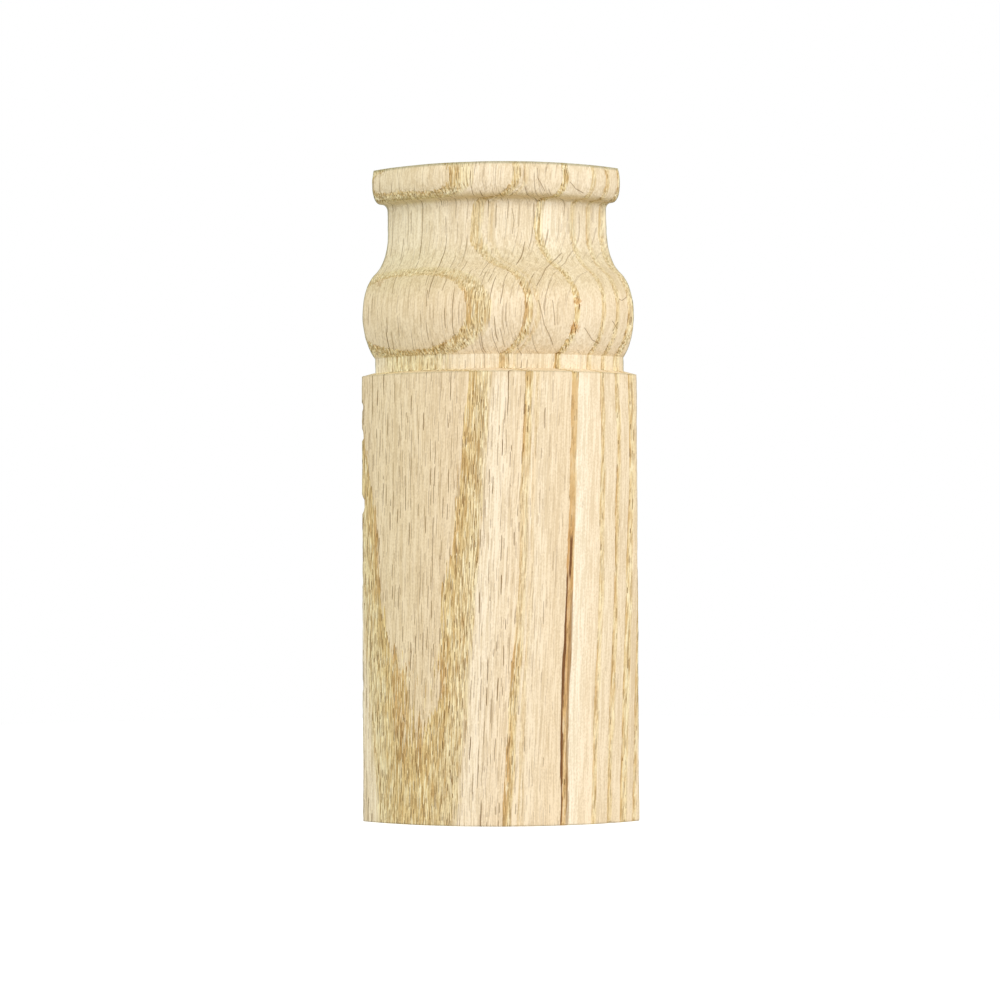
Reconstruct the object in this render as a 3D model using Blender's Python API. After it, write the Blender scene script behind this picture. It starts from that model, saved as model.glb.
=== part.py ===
"""Outside corner base block in oak: a quarter of a turned column, rebated at its heart to fit a wall's corner.

The block stands on the floor against the outside corner of two walls. Its rebate takes the walls' corner, and
the two sawn faces, one on each wall, stop the baseboards. Metres, +Z up. The origin is the centre of the foot's
bounding square. The turning axis stands at the square's -X +Y corner, and the round face looks to +X and -Y.
"""

import math

import bmesh
import bpy
from mathutils import Matrix, Vector

# Overall sizes
HEIGHT = 0.159  # 6 1/4 in
BODY_RADIUS = 0.0475  # 1 7/8 in, which is also the width of the foot's square
REBATE = 0.019  # 3/4 in along each wall

# Turned head, from the shoulder upwards. Depths are measured in from the body's round face.
SHOULDER_RISE = 0.0011
GROOVE_DEPTH = 0.0043
GROOVE_HEIGHT = 0.0034
BULGE_DEPTH = 0.0005  # at its widest line
CYMA_SWELL = 0.008  # radial half axis of the ellipse that shapes the bulge, and the cove above it
CYMA_HALF_HEIGHT = 0.012  # upright half axis of the same ellipse
NECK_DEPTH = 0.0092
NECK_STRAIGHT = 0.0052
NECK_FILLET = 0.0015
RIM_THICKNESS = 0.0082
RIM_DEPTH = 0.0042  # at its widest line
RIM_WIDEST = 0.0045  # height of the widest line above the rim's underside
RIM_ROUNDING = 0.0025  # how far in from the widest line the rounded underside starts
RIM_LEAN = 0.0006  # how far in from the widest line the top arris is

# Fineness of the faceted surface
ROUND_STEPS = 40
BULGE_STEPS = 20
COVE_STEPS = 12
FILLET_STEPS = 5
RIM_STEPS = 8
SMOOTH_UNDER = math.radians(25)

CUTTER_OVERRUN = 0.01

OAK_COLOUR = (0.82, 0.66, 0.46, 1.0)
OAK_ROUGHNESS = 0.62


def ellipse_points(centre, swell, half_height, start, end, steps):
    """Points (radius, height) on an ellipse, from angle start to angle end above the level of its centre."""
    angles = [start + (end - start) * i / steps for i in range(steps + 1)]
    return [(centre[0] + swell * math.cos(a), centre[1] + half_height * math.sin(a)) for a in angles]


def cyma_points(groove_radius, neck_radius, foot_height):
    """The bulge above the groove and the cove that carries it on into the upright neck."""
    bulge_radius = BODY_RADIUS - BULGE_DEPTH
    foot_angle = math.acos(1 - (bulge_radius - groove_radius) / CYMA_SWELL)
    turn_angle = math.acos(1 - (bulge_radius - neck_radius) / (2 * CYMA_SWELL))
    bulge_height = foot_height + CYMA_HALF_HEIGHT * math.sin(foot_angle)
    cove_height = bulge_height + 2 * CYMA_HALF_HEIGHT * math.sin(turn_angle)
    bulge = ellipse_points(
        (bulge_radius - CYMA_SWELL, bulge_height),
        CYMA_SWELL,
        CYMA_HALF_HEIGHT,
        -foot_angle,
        turn_angle,
        BULGE_STEPS,
    )
    cove = ellipse_points(
        (neck_radius + CYMA_SWELL, cove_height),
        -CYMA_SWELL,
        CYMA_HALF_HEIGHT,
        -turn_angle,
        0.0,
        COVE_STEPS,
    )
    return bulge + cove[1:]


def rim_points(underside_height):
    """The rim: a level underside, a rounded lower corner and a face that leans in towards the top arris."""
    widest = (BODY_RADIUS - RIM_DEPTH, underside_height + RIM_WIDEST)
    lower = ellipse_points(
        (widest[0] - RIM_ROUNDING, widest[1]), RIM_ROUNDING, RIM_WIDEST, -math.pi / 2, 0.0, RIM_STEPS
    )
    rise = RIM_THICKNESS - RIM_WIDEST
    face_radius = (rise**2 + RIM_LEAN**2) / (2 * RIM_LEAN)
    face = ellipse_points(
        (widest[0] - face_radius, widest[1]),
        face_radius,
        face_radius,
        0.0,
        math.asin(rise / face_radius),
        RIM_STEPS,
    )
    return lower + face[1:]


def head_points():
    """The turned head's outline as (radius, height above the shoulder's outer edge), from the shoulder up."""
    groove_radius = BODY_RADIUS - GROOVE_DEPTH
    neck_radius = BODY_RADIUS - NECK_DEPTH
    points = [(groove_radius, SHOULDER_RISE)]
    points += cyma_points(groove_radius, neck_radius, SHOULDER_RISE + GROOVE_HEIGHT)
    points += ellipse_points(
        (neck_radius + NECK_FILLET, points[-1][1] + NECK_STRAIGHT),
        -NECK_FILLET,
        NECK_FILLET,
        0.0,
        math.pi / 2,
        FILLET_STEPS,
    )
    points += rim_points(points[-1][1])
    return points


def outline():
    """The whole round face's outline as (radius, height), from the foot to the top."""
    head = head_points()
    body_height = HEIGHT - head[-1][1]
    return [(BODY_RADIUS, 0.0), (BODY_RADIUS, body_height)] + [
        (radius, body_height + height) for radius, height in head
    ]


def turning_axis():
    """The foot of the turning axis."""
    return Vector((-BODY_RADIUS / 2, BODY_RADIUS / 2, 0.0))


def turned_quarter():
    """A quarter of the turned column. It is hollow near the axis, where the rebate leaves no wood."""
    axis = turning_axis()
    core = REBATE / 2
    round_face = outline()
    section = [(core, 0.0)] + round_face + [(core, HEIGHT)]
    bm = bmesh.new()
    corners = [bm.verts.new(axis + Vector((0, -radius, height))) for radius, height in section]
    face = bm.faces.new(corners)
    bmesh.ops.spin(
        bm,
        geom=[face, *face.edges, *face.verts],
        cent=axis,
        axis=(0, 0, 1),
        angle=math.pi / 2,
        steps=ROUND_STEPS,
    )
    bmesh.ops.recalc_face_normals(bm, faces=bm.faces)
    mesh = bpy.data.meshes.new("corner_base_block")
    bm.to_mesh(mesh)
    bm.free()
    mesh.shade_smooth()
    mesh.set_sharp_from_angle(angle=SMOOTH_UNDER)
    return mesh


def rebate_cutter():
    """A square bar that runs past the block's top, foot and both sawn faces."""
    axis = turning_axis()
    side = REBATE + CUTTER_OVERRUN
    length = HEIGHT + 2 * CUTTER_OVERRUN
    middle = axis + Vector((REBATE - side / 2, side / 2 - REBATE, HEIGHT / 2))
    size = Matrix.Diagonal((side, side, length, 1.0))
    bm = bmesh.new()
    bmesh.ops.create_cube(bm, size=1.0, matrix=Matrix.Translation(middle) @ size)
    mesh = bpy.data.meshes.new("rebate_cutter")
    bm.to_mesh(mesh)
    bm.free()
    cutter = bpy.data.objects.new("rebate_cutter", mesh)
    cutter.hide_render = True
    cutter.display_type = "WIRE"
    return cutter


def oak():
    """Bare pale oak."""
    material = bpy.data.materials.new("oak")
    material.use_nodes = True
    shader = material.node_tree.nodes["Principled BSDF"]
    shader.inputs["Base Color"].default_value = OAK_COLOUR
    shader.inputs["Roughness"].default_value = OAK_ROUGHNESS
    shader.inputs["Metallic"].default_value = 0.0
    return material


def clear_scene():
    for obj in list(bpy.data.objects):
        bpy.data.objects.remove(obj, do_unlink=True)


def main():
    clear_scene()
    cutter = rebate_cutter()
    block = bpy.data.objects.new("corner_base_block", turned_quarter())
    block.data.materials.append(oak())
    for obj in (block, cutter):
        bpy.context.scene.collection.objects.link(obj)
    rebate = block.modifiers.new("rebate", "BOOLEAN")
    rebate.operation = "DIFFERENCE"
    rebate.solver = "EXACT"
    rebate.object = cutter


main()
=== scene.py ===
"""Corner base block in bare oak: the turned, sawn and slightly worn surface of the solid in the frame.

The round face, the sawn faces, the rebate, the foot and the top are one closed mesh. Its shape is worked
out here from the block's profile. The oak's rings, pores and rays run through it in three dimensions, so
that the pattern on every face belongs to the same piece of timber. Metres, in the frame's own axes, unless
a name ends in _MM. The turning axis stands at the box's -X +Y corner, and the round face looks to +X and -Y.
"""

import math
from types import SimpleNamespace

import bpy
import numpy as np
from mathutils import Matrix, Vector, geometry, noise


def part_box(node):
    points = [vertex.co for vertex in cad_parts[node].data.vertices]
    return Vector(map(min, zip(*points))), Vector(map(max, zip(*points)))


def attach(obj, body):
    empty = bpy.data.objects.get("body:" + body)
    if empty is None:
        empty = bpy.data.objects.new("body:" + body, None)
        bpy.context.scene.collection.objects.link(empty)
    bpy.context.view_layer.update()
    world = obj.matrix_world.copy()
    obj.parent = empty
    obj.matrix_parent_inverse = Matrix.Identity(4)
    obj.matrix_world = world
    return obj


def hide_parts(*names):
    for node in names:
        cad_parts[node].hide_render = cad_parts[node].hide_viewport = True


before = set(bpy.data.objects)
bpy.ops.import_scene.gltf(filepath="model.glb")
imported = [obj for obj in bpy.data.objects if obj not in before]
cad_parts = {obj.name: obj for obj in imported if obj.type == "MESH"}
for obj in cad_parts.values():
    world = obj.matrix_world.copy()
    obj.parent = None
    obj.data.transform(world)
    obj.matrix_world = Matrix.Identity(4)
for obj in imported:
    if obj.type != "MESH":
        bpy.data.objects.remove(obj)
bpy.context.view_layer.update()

MM = 0.001
LOWEST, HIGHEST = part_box("corner_base_block")
HEIGHT = HIGHEST.z
BODY_RADIUS = HIGHEST.x - LOWEST.x
AXIS = Vector((LOWEST.x, HIGHEST.y, 0.0))  # foot of the turning axis
QUARTER = math.pi / 2

# Profile of the solid. Depths are measured in from the body's round face.
REBATE = 0.019
SHOULDER_RISE = 0.0011
GROOVE_DEPTH = 0.0043
GROOVE_HEIGHT = 0.0034
BULGE_DEPTH = 0.0005
CYMA_SWELL = 0.008
CYMA_HALF_HEIGHT = 0.012
NECK_DEPTH = 0.0092
NECK_STRAIGHT = 0.0052
NECK_FILLET = 0.0015
RIM_THICKNESS = 0.0082
RIM_DEPTH = 0.0042
RIM_WIDEST = 0.0045
RIM_ROUNDING = 0.0025
RIM_LEAN = 0.0006
CURVE_STEPS = 120

# Camera, about the turning axis
CAMERA_AZIMUTH = math.radians(46.604)
CAMERA_DISTANCE = 0.63806
CAMERA_HEIGHT = 0.05897
CAMERA_TILT = math.radians(1.7782)
CAMERA_PAN = math.radians(0.08)
CAMERA_ROLL = math.radians(0.2581)
CAMERA_LENS_MM = 89.58
CAMERA_SENSOR_MM = 36.0
CAMERA_CLIP_START = 0.01
PHOTO_RIGHT = Vector((math.cos(CAMERA_AZIMUTH), math.sin(CAMERA_AZIMUTH), 0.0))
TO_CAMERA = Vector((math.sin(CAMERA_AZIMUTH), -math.cos(CAMERA_AZIMUTH), 0.0))

# Fineness of the mesh
COLUMN_SPACING = 0.00031
BODY_ROW_SPACING = 0.0008
HEAD_ROW_SPACING = 0.00043
EDGE_STEPS = (0.00014, 0.0002, 0.0003)  # first steps in from an arris
FLAT_SPACING = 0.0011
FLAT_UNEVENNESS = 0.22  # how far a point of the flat faces may stray, in spacings
FLAT_CLEARANCE = 0.5  # how far they keep from the outline, in spacings
SHARP_OVER = math.radians(38)
SAME_PLACE = 1e-6
WELD_WITHIN = 1e-9

# The turned head stands a little out of true with the body, towards the photo's left.
HEAD_LEAN = 0.0007

# Wear along the arrises: how far each one is eased, and by how much that varies
ARRIS_EASE = 0.00022
ARRIS_VARIES = 0.00016
ARRIS_LEAST = 0.00008
ARRIS_LONG_WAVE = 0.006
ARRIS_SHORT_WAVE = 0.0016
ARRIS_SHORT_SHARE = 0.6
END_GRAIN_STRETCH = 0.6  # the foot's and the top's arrises vary over longer stretches
SHOULDER_EASE = 0.00012
# Chips out of the left arris: height, half length and depth
CHIPS = (
    (0.1006, 0.0009, 0.0006),
    (0.0937, 0.0014, 0.0007),
    (0.0770, 0.0019, 0.0010),
    (0.0585, 0.0012, 0.0004),
    (0.0330, 0.0016, 0.0004),
)
CHIP_FADES_ABOVE = (0.3, 1.3)  # in half lengths
CHIP_FADES_BELOW = (0.85, 1.0)
FOOT_BREAK_ANGLE = math.radians(79)
FOOT_BREAK_HALF_WIDTH = math.radians(2.2)
FOOT_BREAK_DEPTH = 0.0007

# The timber: where the pith ran, and the radius of each ring's start from it at PITH_HEIGHT
PITH = Vector((0.06139, -0.21236))
PITH_LEAN = Vector((0.04456, -0.04763))  # per metre of height
PITH_HEIGHT = 0.08
TAPER = 0.0892  # how much each ring's radius grows for each metre of height
RAY_RADIUS_MM = 220.0  # where the distance along a ring is measured
RING_EDGE_MM = 0.1  # half the width over which the mesh's relief starts
EARLYWOOD_CLOSES = (0.8, 1.2)  # where that relief ends, in widths of the earlywood
# Each ring: radius of its start, width of its earlywood, how dark that is and how pale the rest is
RINGS_MM = (
    (197.6, 1.2, 0.8, 0.0),
    (205.2, 2.0, 1.0, 0.6),
    (212.0, 1.15, 0.9, 0.35),
    (213.7, 0.6, 0.35, 0.35),
    (220.7, 1.3, 1.15, 1.0),
    (227.7, 1.1, 0.65, 0.3),
    (231.7, 1.2, 0.7, 0.2),
    (235.4, 1.9, 0.8, 0.1),
    (239.3, 1.1, 0.7, 0.15),
    (243.6, 1.2, 0.7, 0.2),
    (247.1, 1.0, 0.8, 0.1),
    (251.4, 1.2, 0.7, 0.2),
    (255.2, 1.1, 0.8, 0.1),
    (259.8, 1.2, 0.7, 0.2),
)
# Where the rings swell or dip: distance along the ring, height, how far it reaches each way, and the shift
RING_WAVES_MM = (
    (-19, 120, 8, 38, -1.9),
    (-1, 37, 4, 8, 0.4),
    (8.5, 31, 3, 7, -0.35),
    (9, 54, 4, 9, 0.25),
    (26, 60, 6, 22, -0.4),
    (16, 135, 4, 4, 0.35),
    (35, 41, 5, 18, 0.15),
    (35, 2, 6, 14, -0.5),
    (39.5, 50, 3, 22, -0.7),
    (40.8, 85, 2, 15, -0.6),
    (22, 145, 4, 7, 0.4),
    (33, 123, 4, 8, -0.35),
    (38, 108, 3, 10, 0.7),
    (-3, 157, 13, 5.5, -1.3),
    (26, 157, 9, 5.5, -0.5),
    (-16, 155.5, 6, 5, -1.6),
    (8.5, 146, 3, 6, -0.25),
    (-9.7, 54, 3.5, 12, -0.25),
    (3, 152.5, 5, 3, -0.35),
    (-18, 144, 6, 12, -1.0),
    (-10, 132.5, 5, 3, -0.4),
    (-7, 113.8, 10, 3, -0.5),
    (-6, 110.5, 5, 2.5, -0.6),
    (12.6, 124, 3, 5, 0.3),
)

# Where the earlywood is paler: distances from the pith and heights, and how far each fades
PALE_STRETCH_MM = ((211.5, 215.0), (46.0, 86.0))
PALE_STRETCH_FADES_MM = (0.1, 5.0)

# Drying cracks along the darkest ring: distance from the pith, top, foot and strength
CRACKS_MM = (
    (221.35, 70.0, 57.5, 1.0),
    (220.75, 61.0, -1.0, 1.0),
    (221.85, 57.0, -1.0, 0.5),
)
CRACK_WIDTH_MM = 0.3
CRACK_EDGE_MM = 0.15
CRACK_TAPER_MM = 2.5

# Scratches and long rays on the head: points (degrees around the round face, height in mm) joined by lines
SCRATCHES = (
    ((71.8, 118.7), (74.9, 116.0), (77.7, 115.3)),
    ((84.2, 126.2), (85.3, 125.9), (87.4, 126.9)),
    ((81.3, 120.7), (83.4, 119.0)),
    ((83.4, 120.5), (81.8, 118.4)),
    ((57.4, 125.0), (59.1, 119.2), (62.2, 114.7)),
    ((61.7, 125.0), (62.3, 119.3)),
    ((51.0, 148.2), (51.7, 145.3), (50.9, 142.1)),
    ((58.9, 157.3), (58.8, 155.0), (61.4, 152.0)),
    ((69.9, 154.3), (72.1, 152.8), (75.1, 152.0)),
    ((68.5, 137.5), (61.0, 133.1), (57.2, 128.6)),
    ((29.8, 130.4), (28.7, 127.7)),
    ((24.1, 127.8), (24.0, 124.0)),
)
SCRATCH_HALF_WIDTH_MM = 0.17
SCRATCH_CORE_MM = 0.051  # half the width that is as dark as the whole gets
SCRATCH_FAR_MM = 10.0  # where the search for the nearest scratch starts
# Redder spots: degrees around the round face, height, half width and half height in mm, and strength
RED_SPOTS = (
    (69.6, 125.0, 1.1, 1.1, 0.9),
    (68.6, 118.7, 1.3, 1.5, 0.9),
    (47.3, 110.5, 1.4, 1.6, 0.3),
    (5.4, 130.9, 1.5, 1.2, 0.3),
)

# The studio
FLOOR_RADIUS = 0.45
FLOOR_SIDES = 96
FLOOR_ALBEDO = 0.64
FLOOR_GLOW = 0.65
FLOOR_ROUGHNESS = 0.9
ROOM_LIGHT_ABOVE = 0.97
ROOM_LIGHT_BELOW = 0.76
ROOM_LIGHT_RISES = (-0.5, 0.7)  # from this upward part of the direction to this one
KEY_SIZE = 0.9
KEY_POWER = 8.8
KEY_AZIMUTH = math.radians(18)
KEY_ELEVATION = math.radians(26)
KEY_DISTANCE = 1.4

# Relief
SEED_STRIDE = 17.31  # how far apart the noises of two seeds lie
RECESS = 0.00005  # how far the earlywood is worn back
STREAK_RELIEF = 0.00005
STREAK_SIZES_MM = (0.7, 0.7, 9.0)
RELIEF_FADE = 0.0006  # how far in from the arrises the relief is complete
SAW_RELIEF = 0.00004
SAW_PITCH = 0.0021
SAW_SLANT = 0.12
SAW_WANDER = 2.5
SAW_WANDER_SIZE = 0.012
SAW_FADE = (0.0004, 0.003)
# Torn grain: its crumbs, and what makes it stronger or weaker
TORN_RELIEF = 0.00016
CRUMB_SIZE = 0.00085
CRUMB_FINE_SIZE = 0.0005
CRUMB_FINE_SHARE = 0.6
CRUMB_SINKS = 0.25
RAGGED_SIZE = 0.004
RAGGED_SHOWS = (-0.35, 0.25)  # values of its noise
TORN_SLOPES = (0.1, 0.55)  # upright parts of the face's direction
UPWARD_SLOPES = (0.1, 0.5)
TORN_ON_LEVEL = 0.15
TORN_LEAST = 0.35
TORN_LESS_UPWARD = 0.5
# Darker arrises and painted shadow lines: how the darkening fades in from the arrises, and how far the dark
# line along the foot and the painted shadow line along the shoulder reach
DARK_EDGE_FADE = (0.000245, 0.0007)
DARK_LINE_REACH = 0.00035
DARK_EDGES_ON_BODY = 0.4
DARK_EDGES_ON_HEAD = 0.8
# The painted shadow along the rim's underside, with some dirt, as heights from it
RIM_SHADOW_STARTS = (-0.0009, -0.00015)
RIM_SHADOW_ENDS = (0.000225, 0.001125)

# What each point is marked with: torn grain, darker arrises with painted shadow lines, how deep it lies in
# the head's hollows, facing up, the distance around the round face in mm, 1 on that face, and the painted
# shadow under the rim, with some dirt
MARKS = ("torn", "dark_edges_and_shade", "sheltered", "upward", "around", "turned", "rim_shadow_and_dirt")


def ellipse_points(centre, swell, half_height, start, end):
    """Points (radius, height) on an ellipse, from angle start to angle end above the level of its centre."""
    angles = [start + (end - start) * i / CURVE_STEPS for i in range(CURVE_STEPS + 1)]
    return [(centre[0] + swell * math.cos(a), centre[1] + half_height * math.sin(a)) for a in angles]


def cyma_stretches(groove_radius, neck_radius, foot_height):
    """The bulge above the groove, and the cove that carries it on into the upright neck."""
    bulge_radius = BODY_RADIUS - BULGE_DEPTH
    foot_angle = math.acos(1 - (bulge_radius - groove_radius) / CYMA_SWELL)
    turn_angle = math.acos(1 - (bulge_radius - neck_radius) / (2 * CYMA_SWELL))
    bulge_height = foot_height + CYMA_HALF_HEIGHT * math.sin(foot_angle)
    cove_height = bulge_height + 2 * CYMA_HALF_HEIGHT * math.sin(turn_angle)
    bulge_centre = (bulge_radius - CYMA_SWELL, bulge_height)
    cove_centre = (neck_radius + CYMA_SWELL, cove_height)
    return [
        ellipse_points(bulge_centre, CYMA_SWELL, CYMA_HALF_HEIGHT, -foot_angle, turn_angle),
        ellipse_points(cove_centre, -CYMA_SWELL, CYMA_HALF_HEIGHT, -turn_angle, 0.0),
    ]


def rim_stretches(underside_height):
    """The rim's rounded lower corner, and its face that leans in towards the top arris."""
    widest = (BODY_RADIUS - RIM_DEPTH, underside_height + RIM_WIDEST)
    rise = RIM_THICKNESS - RIM_WIDEST
    face_radius = (rise**2 + RIM_LEAN**2) / (2 * RIM_LEAN)
    lower_centre = (widest[0] - RIM_ROUNDING, widest[1])
    face_centre = (widest[0] - face_radius, widest[1])
    return [
        ellipse_points(lower_centre, RIM_ROUNDING, RIM_WIDEST, -QUARTER, 0.0),
        ellipse_points(face_centre, face_radius, face_radius, 0.0, math.asin(rise / face_radius)),
    ]


def head_stretches():
    """The head's outline, as stretches of (radius, height above the shoulder's edge) that meet end to end."""
    groove_radius = BODY_RADIUS - GROOVE_DEPTH
    neck_radius = BODY_RADIUS - NECK_DEPTH
    groove_top = SHOULDER_RISE + GROOVE_HEIGHT
    parts = [
        [(BODY_RADIUS, 0.0), (groove_radius, SHOULDER_RISE)],
        [(groove_radius, SHOULDER_RISE), (groove_radius, groove_top)],
    ]
    parts += cyma_stretches(groove_radius, neck_radius, groove_top)
    neck_foot = parts[-1][-1]
    neck_top = (neck_radius, neck_foot[1] + NECK_STRAIGHT)
    fillet_centre = (neck_radius + NECK_FILLET, neck_top[1])
    parts.append([neck_foot, neck_top])
    parts.append(ellipse_points(fillet_centre, -NECK_FILLET, NECK_FILLET, 0.0, QUARTER))
    rim = rim_stretches(parts[-1][-1][1])
    parts.append([parts[-1][-1], rim[0][0]])
    return parts + rim


def spread(points, spacing):
    """The same line with its points at even distances, without its first point."""
    points = np.array(points)
    along = np.concatenate([[0.0], np.cumsum(np.hypot(*np.diff(points, axis=0).T))])
    steps = max(1, round(along[-1] / spacing))
    at = np.linspace(0.0, along[-1], steps + 1)[1:]
    return [(np.interp(s, along, points[:, 0]), np.interp(s, along, points[:, 1])) for s in at]


def graded(length, spacing):
    """Distances from 0 to length: the small edge steps next to both ends, and an even spacing between."""
    near = np.concatenate([[0.0], np.cumsum(EDGE_STEPS)])
    middle = length - 2 * near[-1]
    steps = round(middle / spacing)
    inner = near[-1] + np.linspace(0.0, middle, steps + 1)[1:-1]
    return np.concatenate([near, inner, length - near[::-1]])


def profile_rows(body_height, head):
    """All rows of the round face from the foot to the top, as an array of (radius, height)."""
    rows = [(BODY_RADIUS, h) for h in graded(body_height, BODY_ROW_SPACING)]
    for part in head:
        lifted = [(radius, body_height + height) for radius, height in part]
        rows += spread(lifted, HEAD_ROW_SPACING)
    return np.array(rows)


def row_normals(rows):
    """The outward direction of each row, as (radial, upward)."""
    along = np.gradient(rows, axis=0)
    along /= np.linalg.norm(along, axis=1)[:, None]
    return np.stack([along[:, 1], -along[:, 0]], 1)


def smooth_step(value, start, end):
    """A smooth step from 0 at start to 1 at end."""
    t = np.clip((value - start) / (end - start), 0.0, 1.0)
    return t * t * (3 - 2 * t)


def noise_at(points, size, seed):
    """Smooth noise from -1 to 1 at each point. Size is one length, or one for each direction."""
    scaled = points / np.asarray(size) + seed * SEED_STRIDE
    values = [noise.noise(p) for p in scaled.reshape(-1, 3).tolist()]
    return np.array(values).reshape(points.shape[:-1])


def wood_coordinates(points):
    """Each point's place in the timber, in millimetres: along the ring, out from the pith, and up the tree.

    The distance along the ring is 0 in line with the turning axis, and grows towards the photo's right."""
    height = points[..., 2]
    pith = np.array(PITH) + (height - PITH_HEIGHT)[..., None] * np.array(PITH_LEAN)
    from_pith = points[..., :2] - pith
    to_axis = np.array(AXIS[:2]) - np.array(PITH)
    heading = math.atan2(to_axis[1], to_axis[0])
    angle = heading - np.arctan2(from_pith[..., 1], from_pith[..., 0])
    angle = (angle + math.pi) % (2 * math.pi) - math.pi
    out = (np.linalg.norm(from_pith, axis=-1) - TAPER * (height - PITH_HEIGHT)) / MM
    along = angle * RAY_RADIUS_MM
    up = height / MM
    for middle, level, reach, upward_reach, shift in RING_WAVES_MM:
        aside, above = (along - middle) / reach, (up - level) / upward_reach
        out = out + shift * np.exp(-(aside**2) - above**2)
    return np.stack([along, out, up], -1)


def earlywood(wood):
    """How much each place belongs to the open-pored start of a ring, from 0 to 1."""
    share = np.zeros(wood.shape[:-1])
    for start, width, *_ in RINGS_MM:
        since = wood[..., 1] - start
        opens = smooth_step(since, -RING_EDGE_MM, RING_EDGE_MM)
        closes = smooth_step(since, *(width * end for end in EARLYWOOD_CLOSES))
        share = np.maximum(share, opens * (1 - closes))
    return share


def arris_ease(heights, seed):
    """How far one arris is eased at each height."""
    points = np.stack([np.full(len(heights), seed), np.zeros(len(heights)), heights], 1)
    wander = noise_at(points, (1.0, 1.0, ARRIS_LONG_WAVE), seed)
    wander = wander + ARRIS_SHORT_SHARE * noise_at(points, (1.0, 1.0, ARRIS_SHORT_WAVE), seed + 5)
    return np.clip(ARRIS_EASE + ARRIS_VARIES * wander, ARRIS_LEAST, None)


def chipped(heights, ease):
    """The left arris with its chips: each starts softly above and ends in a sharp step below."""
    for middle, half_length, depth in CHIPS:
        across = (heights - middle) / half_length
        above, below = smooth_step(across, *CHIP_FADES_ABOVE), smooth_step(-across, *CHIP_FADES_BELOW)
        ease = np.maximum(ease, depth * np.where(across > 0, 1 - above, 1 - below))
    return ease


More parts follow.
